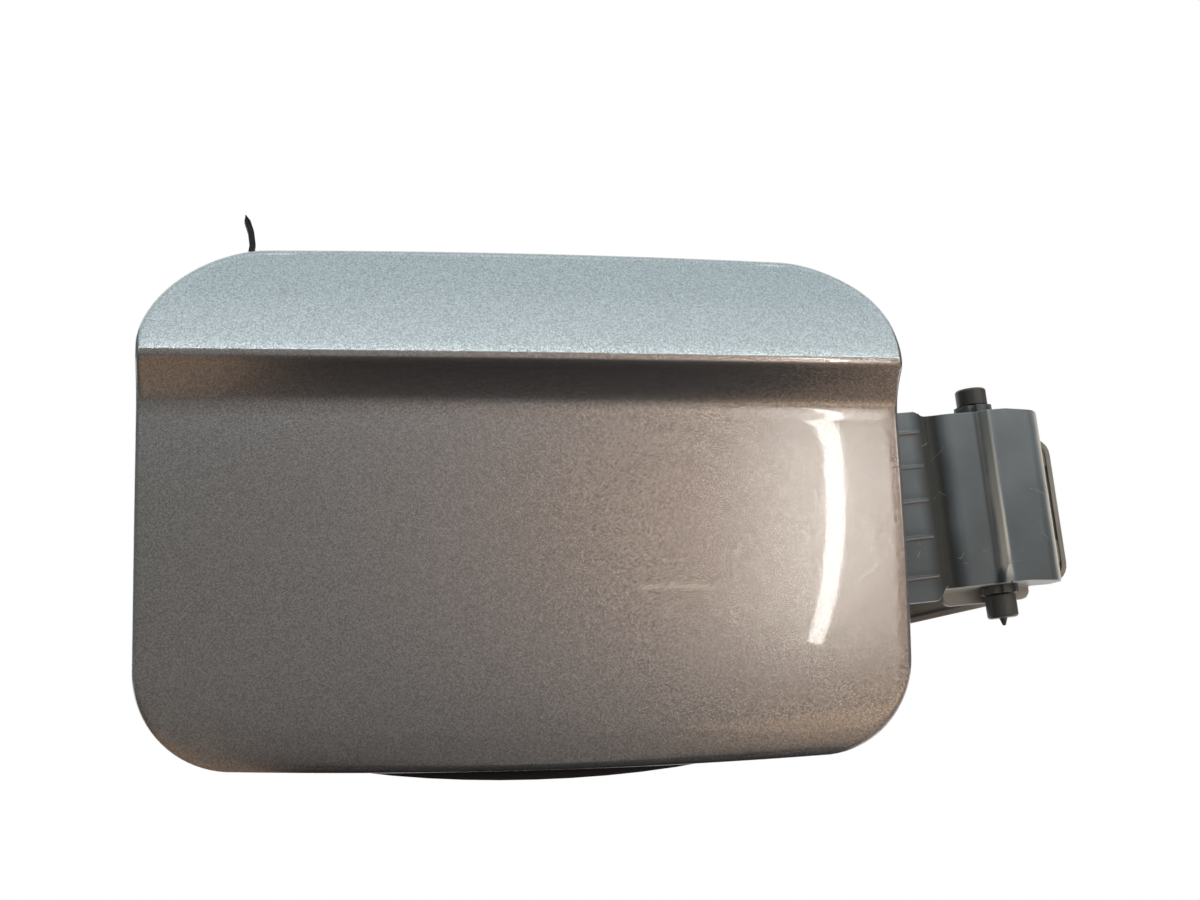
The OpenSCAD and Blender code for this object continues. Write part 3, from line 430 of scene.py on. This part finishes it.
# Inner panel: one black injection-moulded plate that closes the back of the door.
# It is bonded to the outer panel and carries the arm's bosses, ribs and seats.
def moulded(name, colour, roughness, grain, wear, scale=900.0):
    # Moulded plastic: fine grain, slow shade changes and paler, rubbed edges
    material, nodes, links = new_material(name)
    place = nodes.new("ShaderNodeTexCoord")
    fine = nodes.new("ShaderNodeTexNoise")
    fine.inputs["Scale"].default_value = scale
    fine.inputs["Detail"].default_value = 4
    links.new(place.outputs["Object"], fine.inputs["Vector"])
    broad = nodes.new("ShaderNodeTexNoise")
    broad.inputs["Scale"].default_value = 60
    broad.inputs["Detail"].default_value = 5
    links.new(place.outputs["Object"], broad.inputs["Vector"])
    tone = nodes.new("ShaderNodeValToRGB")
    tone.color_ramp.elements[0].position = 0.3
    tone.color_ramp.elements[1].position = 0.75
    tone.color_ramp.elements[0].color = (*[c * 0.8 for c in colour], 1)
    tone.color_ramp.elements[1].color = (*[c * 1.25 for c in colour], 1)
    links.new(broad.outputs[0], tone.inputs[0])
    shape = nodes.new("ShaderNodeNewGeometry")
    edge = nodes.new("ShaderNodeValToRGB")
    edge.color_ramp.elements[0].position = 0.52
    edge.color_ramp.elements[1].position = 0.62
    links.new(shape.outputs["Pointiness"], edge.inputs[0])
    amount = nodes.new("ShaderNodeMath")
    amount.operation = "MULTIPLY"
    amount.inputs[1].default_value = wear
    links.new(edge.outputs[0], amount.inputs[0])
    mix = nodes.new("ShaderNodeMix")
    mix.data_type = "RGBA"
    links.new(amount.outputs[0], mix.inputs[0])
    links.new(tone.outputs[0], mix.inputs[6])
    mix.inputs[7].default_value = (*[c * 2.2 + 0.03 for c in colour], 1)
    bump = nodes.new("ShaderNodeBump")
    bump.inputs["Strength"].default_value = grain
    bump.inputs["Distance"].default_value = 0.0002
    links.new(fine.outputs[0], bump.inputs["Height"])
    rough = nodes.new("ShaderNodeMapRange")
    rough.inputs["To Min"].default_value = roughness - 0.08
    rough.inputs["To Max"].default_value = roughness + 0.1
    links.new(broad.outputs[0], rough.inputs[0])
    plastic = nodes.new("ShaderNodeBsdfPrincipled")
    links.new(mix.outputs[2], plastic.inputs["Base Color"])
    links.new(rough.outputs[0], plastic.inputs["Roughness"])
    links.new(bump.outputs[0], plastic.inputs["Normal"])
    links.new(plastic.outputs[0], nodes.new("ShaderNodeOutputMaterial").inputs["Surface"])
    return material


def finish_piece(node, body, material, radius, name):
    # Takes a merged copy of a CAD solid, rounds its edges and dresses it
    bpy.ops.object.select_all(action="DESELECT")
    piece = bpy.data.objects.new(name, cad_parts[node].data.copy())
    scene.collection.objects.link(piece)
    piece.select_set(True)
    bpy.context.view_layer.objects.active = piece
    bpy.ops.object.mode_set(mode="EDIT")
    bpy.ops.mesh.select_all(action="SELECT")
    bpy.ops.mesh.remove_doubles(threshold=0.00001)
    bpy.ops.mesh.dissolve_limited(angle_limit=radians(1))
    bpy.ops.object.mode_set(mode="OBJECT")
    if radius:
        apply_modifier(piece, "BEVEL", width=radius, segments=2, limit_method="ANGLE",
                       angle_limit=radians(30), use_clamp_overlap=False)
    bpy.ops.object.shade_smooth_by_angle(angle=radians(40))
    apply_modifier(piece, "WEIGHTED_NORMAL", keep_sharp=True, weight=90)
    piece.data.materials.clear()
    piece.data.materials.append(material)
    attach(piece, body)
    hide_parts(node)


black_moulding = moulded("black_moulding", (0.022, 0.022, 0.024), 0.5, 0.25, 0.3)
finish_piece("inner_panel", "door", black_moulding, 0.0002, "inner_plate")

# Bonding pads: seven blobs of pale mastic, laid on the inner panel and pressed flat when
# the outer panel goes on.
material = moulded("grey_mastic", (0.5, 0.48, 0.42), 0.8, 0.5, 0.0, 500.0)
finish_piece("bonding_pads", "door", material, 0.0, "mastic_pads")

# Hinge arm: a charcoal moulding in glass-filled nylon. Its ribbed tongue is screwed to the
# inner panel, and its hollow swan neck passes round the two pins. Its hollows carry painted
# shade and its ridges carry painted highlights.
axis_lean = radians(4.8)
arm_left, arm_right = -0.030, 0.016
arm_half_h = 0.022
rear_wall_y = -0.0165
foot_z = -0.0215
# Painted shade for the hollows, painted highlight for the ridges, and painted light from below laid as
# pale dust
painted_hollow_shade = (0.012, 0.014, 0.012)
painted_ridge_highlight = (0.60, 0.56, 0.49)
dust_and_light_from_below = (0.40, 0.385, 0.355)
scratched = (0.30, 0.30, 0.28)
fleck = (0.5, 0.5, 0.48)
# By the distance across: the shares of painted highlight on the bead, painted highlight on the right
# edge, painted shade
shade_and_highlight_across = [
    (arm_left, (0, 0, 0)),
    (-0.0225, (0, 0, 0)), (-0.0192, (0, 0, 0.9)), (-0.0138, (0, 0, 0.9)), (-0.0110, (0, 0, 0)),
    (-0.0036, (0, 0, 0)), (-0.0027, (0, 0, 0.65)), (-0.0018, (0, 0, 0)),
    (-0.0009, (1, 0, 0)), (0.0002, (1, 0, 0)), (0.0010, (0, 0, 0)),
    (0.0110, (0, 0, 0)), (0.0121, (0, 0, 0.4)), (0.0130, (0, 0, 0)), (0.0147, (0, 1, 0)),
    (arm_right, (0, 1, 0)),
]


def paint_arm_light_and_wear(material):
    # Lays painted shade, painted highlights and painted light, with scratches and specks, over the
    # moulding's own colour, along the tilted axis
    nodes, links = material.node_tree.nodes, material.node_tree.links
    plastic = next(node for node in nodes if node.type == "BSDF_PRINCIPLED")
    shades = [plastic.inputs["Base Color"].links[0].from_socket]
    place = nodes.new("ShaderNodeTexCoord")

    def reckon(operation, *values):
        node = nodes.new("ShaderNodeMath")
        node.operation = operation
        for socket, value in zip(node.inputs, values):
            if isinstance(value, (int, float)):
                socket.default_value = value
            else:
                links.new(value, socket)
        return node.outputs[0]

    def along(*way):
        dot = nodes.new("ShaderNodeVectorMath")
        dot.operation = "DOT_PRODUCT"
        dot.inputs[1].default_value = way
        links.new(place.outputs["Object"], dot.inputs[0])
        return dot.outputs["Value"]

    def span(value, start, end, bottom, top):
        node = nodes.new("ShaderNodeMapRange")
        sockets = ("From Min", "From Max", "To Min", "To Max")
        for name, number in zip(sockets, (start, end, bottom, top)):
            node.inputs[name].default_value = number
        links.new(value, node.inputs[0])
        return node.outputs[0]

    def noise(scale, detail):
        node = nodes.new("ShaderNodeTexNoise")
        node.inputs["Scale"].default_value = scale
        node.inputs["Detail"].default_value = detail
        links.new(place.outputs["Object"], node.inputs["Vector"])
        return node.outputs[0]

    def cover(amount, colour):
        node = nodes.new("ShaderNodeMix")
        node.data_type = "RGBA"
        links.new(amount, node.inputs[0])
        links.new(shades[-1], node.inputs[6])
        node.inputs[7].default_value = (*colour, 1)
        shades.append(node.outputs[2])

    # Painted shade: the arm is lighter at the top and darker low down, as if lit from above
    height = along(-sin(axis_lean), 0, cos(axis_lean))
    painted_top_light = nodes.new("ShaderNodeVectorMath")
    painted_top_light.operation = "SCALE"
    links.new(shades[0], painted_top_light.inputs[0])
    links.new(span(height, -arm_half_h, arm_half_h, 0.72, 1.3), painted_top_light.inputs["Scale"])
    shades.append(painted_top_light.outputs[0])
    # Painted shade in the hollows and painted highlights on the bead and the right edge, with ragged
    # borders. The bead's highlight is strongest low down, but not at its foot
    ragged = reckon("MULTIPLY_ADD", noise(120, 6), 0.0008, -0.0004)
    across = reckon("ADD", along(cos(axis_lean), 0, sin(axis_lean)), ragged)
    ramp = nodes.new("ShaderNodeValToRGB")
    stops = [((where - arm_left) / (arm_right - arm_left), shares) for where, shares in shade_and_highlight_across]
    for stop, shares in stops[1:-1]:
        ramp.color_ramp.elements.new(stop)
    for element, (stop, shares) in zip(ramp.color_ramp.elements, stops):
        element.position = stop
        element.color = (*shares, 1)
    links.new(span(across, arm_left, arm_right, 0, 1), ramp.inputs[0])
    share = nodes.new("ShaderNodeSeparateColor")
    links.new(ramp.outputs[0], share.inputs[0])
    cover(share.outputs[2], painted_hollow_shade)
    bead = reckon("MULTIPLY", share.outputs[0], span(height, -0.015, 0.020, 1.0, 0.28))
    bead = reckon("MULTIPLY", bead, span(height, -arm_half_h, -0.0185, 0.2, 1.0))
    cover(reckon("MAXIMUM", bead, share.outputs[1]), painted_ridge_highlight)
    # Painted light, laid as pale dust, on the foot of the rear wall
    behind = reckon("GREATER_THAN", along(0, 1, 0), rear_wall_y)
    cover(reckon("MULTIPLY", behind, reckon("LESS_THAN", height, foot_z)), dust_and_light_from_below)
    # Fine curved scratches, here and there
    line = reckon("ABSOLUTE", reckon("SUBTRACT", noise(75, 1.5), 0.5))
    line = reckon("LESS_THAN", line, 0.0016)
    patch = reckon("GREATER_THAN", noise(210, 1), 0.60)
    cover(reckon("MULTIPLY", reckon("MULTIPLY", line, patch), 0.5), scratched)
    # Pale specks in one of ten cells
    cells = nodes.new("ShaderNodeTexVoronoi")
    cells.inputs["Scale"].default_value = 260
    links.new(place.outputs["Object"], cells.inputs["Vector"])
    chance = nodes.new("ShaderNodeSeparateColor")
    links.new(cells.outputs["Color"], chance.inputs[0])
    chosen = reckon("GREATER_THAN", chance.outputs[0], 0.9)
    speck = reckon("MULTIPLY", reckon("LESS_THAN", cells.outputs["Distance"], 0.07), chosen)
    cover(reckon("MULTIPLY", speck, 0.8), fleck)
    # Painted light from below, laid as pale dust, on what looks down
    shape = nodes.new("ShaderNodeNewGeometry")
    facing = nodes.new("ShaderNodeSeparateXYZ")
    links.new(shape.outputs["Normal"], facing.inputs[0])
    cover(span(facing.outputs[2], -0.3, -0.8, 0, 0.9), dust_and_light_from_below)
    links.new(shades[-1], plastic.inputs["Base Color"])


arm_nylon = moulded("charcoal_nylon", (0.105, 0.12, 0.128), 0.36, 0.12, 0.2)
paint_arm_light_and_wear(arm_nylon)
finish_piece("hinge_arm", "door", arm_nylon, 0.0003, "swan_neck_arm")


# Arm screws: four zinc-plated pan heads, turned in from behind the tongue. They cut their
# own thread in the inner panel's bosses.
def plated(name, colour, roughness, streak=400.0):
    # Plated or bright metal with fine drawn streaks and faint stains
    material, nodes, links = new_material(name)
    place = nodes.new("ShaderNodeTexCoord")
    stretch = nodes.new("ShaderNodeMapping")
    stretch.inputs["Scale"].default_value = (1, 0.12, 1)
    links.new(place.outputs["Object"], stretch.inputs["Vector"])
    lines = nodes.new("ShaderNodeTexNoise")
    lines.inputs["Scale"].default_value = streak
    lines.inputs["Detail"].default_value = 6
    links.new(stretch.outputs[0], lines.inputs["Vector"])
    tone = nodes.new("ShaderNodeValToRGB")
    tone.color_ramp.elements[0].position = 0.3
    tone.color_ramp.elements[1].position = 0.7
    tone.color_ramp.elements[0].color = (*[c * 0.7 for c in colour], 1)
    tone.color_ramp.elements[1].color = (*[min(1.0, c * 1.2) for c in colour], 1)
    links.new(lines.outputs[0], tone.inputs[0])
    rough = nodes.new("ShaderNodeMapRange")
    rough.inputs["To Min"].default_value = roughness - 0.1
    rough.inputs["To Max"].default_value = roughness + 0.15
    links.new(lines.outputs[0], rough.inputs[0])
    metal = nodes.new("ShaderNodeBsdfPrincipled")
    metal.inputs["Metallic"].default_value = 1.0
    links.new(tone.outputs[0], metal.inputs["Base Color"])
    links.new(rough.outputs[0], metal.inputs["Roughness"])
    links.new(metal.outputs[0], nodes.new("ShaderNodeOutputMaterial").inputs["Surface"])
    return material


zinc = plated("bright_zinc", (0.5, 0.5, 0.48), 0.35)
finish_piece("arm_screws", "door", zinc, 0.0001, "pan_head_screws")

# Latch striker: a bar bent to a loop and welded into a foot plate, all zinc plated,
# held to the inner panel by two rivets.
finish_piece("latch_striker", "door", zinc, 0.00025, "striker_loop")
rivet_metal = plated("satin_aluminium", (0.6, 0.6, 0.62), 0.4, 700.0)
finish_piece("striker_rivets", "door", rivet_metal, 0.00015, "striker_rivet_pair")

# Rubber buffers: moulded plugs pushed through the inner panel. They are what the door
# closes against.
soft_rubber = moulded("black_rubber", (0.02, 0.02, 0.02), 0.7, 0.35, 0.15, 1400.0)
finish_piece("rubber_buffers", "door", soft_rubber, 0.0002, "buffer_plugs")

# Cap holder: a black moulded cradle that carries the filler cap while the tank is open.
# Two aluminium rivets hold it to the inner panel.
holder_black = moulded("holder_black", (0.025, 0.025, 0.027), 0.45, 0.25, 0.3)
finish_piece("cap_holder", "door", holder_black, 0.0003, "cap_cradle")
finish_piece("cap_holder_rivets", "door", rivet_metal, 0.00015, "cradle_rivet_pair")

# Tether: a stub of the moulded rubber strap that held the filler cap, torn off just past
# the top edge, on its push-in stud.
strap_black = moulded("strap_black", (0.012, 0.012, 0.013), 0.6, 0.3, 0.2, 1200.0)
finish_piece("tether_strap", "door", strap_black, 0.00025, "tether_stub")
finish_piece("tether_stud", "door", holder_black, 0.00015, "push_in_stud")

# Hinge base: the fixed half of the hinge, a black moulding with a raised rim, three
# screw holes and two slanting ears for the pins.
base_nylon = moulded("black_nylon", (0.19, 0.172, 0.150), 0.5, 0.2, 0.3)
finish_piece("hinge_base", "base", base_nylon, 0.0003, "base_bracket")

# Hinge pins and bushes: turned black pins pressed into the base's ears. They run in the
# arm's notched grey bushes.
pin_black = moulded("pin_black", (0.055, 0.052, 0.048), 0.3, 0.1, 0.25, 1500.0)
finish_piece("upper_pin", "base", pin_black, 0.0002, "top_pin")
finish_piece("lower_pin", "base", pin_black, 0.0002, "bottom_pin")
bush_grey = moulded("bush_grey", (0.07, 0.075, 0.075), 0.4, 0.15, 0.4, 1500.0)
finish_piece("upper_bush", "door", bush_grey, 0.0001, "top_bush")
finish_piece("lower_bush", "door", bush_grey, 0.0001, "bottom_bush")

# Snap spring and stop: a bent leaf of bright spring steel on two rivets, and the rubber
# plug that the arm meets when the door is wide open.
spring_bright = plated("spring_steel", (0.42, 0.42, 0.44), 0.25, 500.0)
finish_piece("snap_spring", "base", spring_bright, 0.0001, "leaf_spring")
finish_piece("spring_rivets", "base", rivet_metal, 0.00015, "leaf_rivet_pair")
finish_piece("stop_buffer", "base", soft_rubber, 0.0002, "stop_plug")
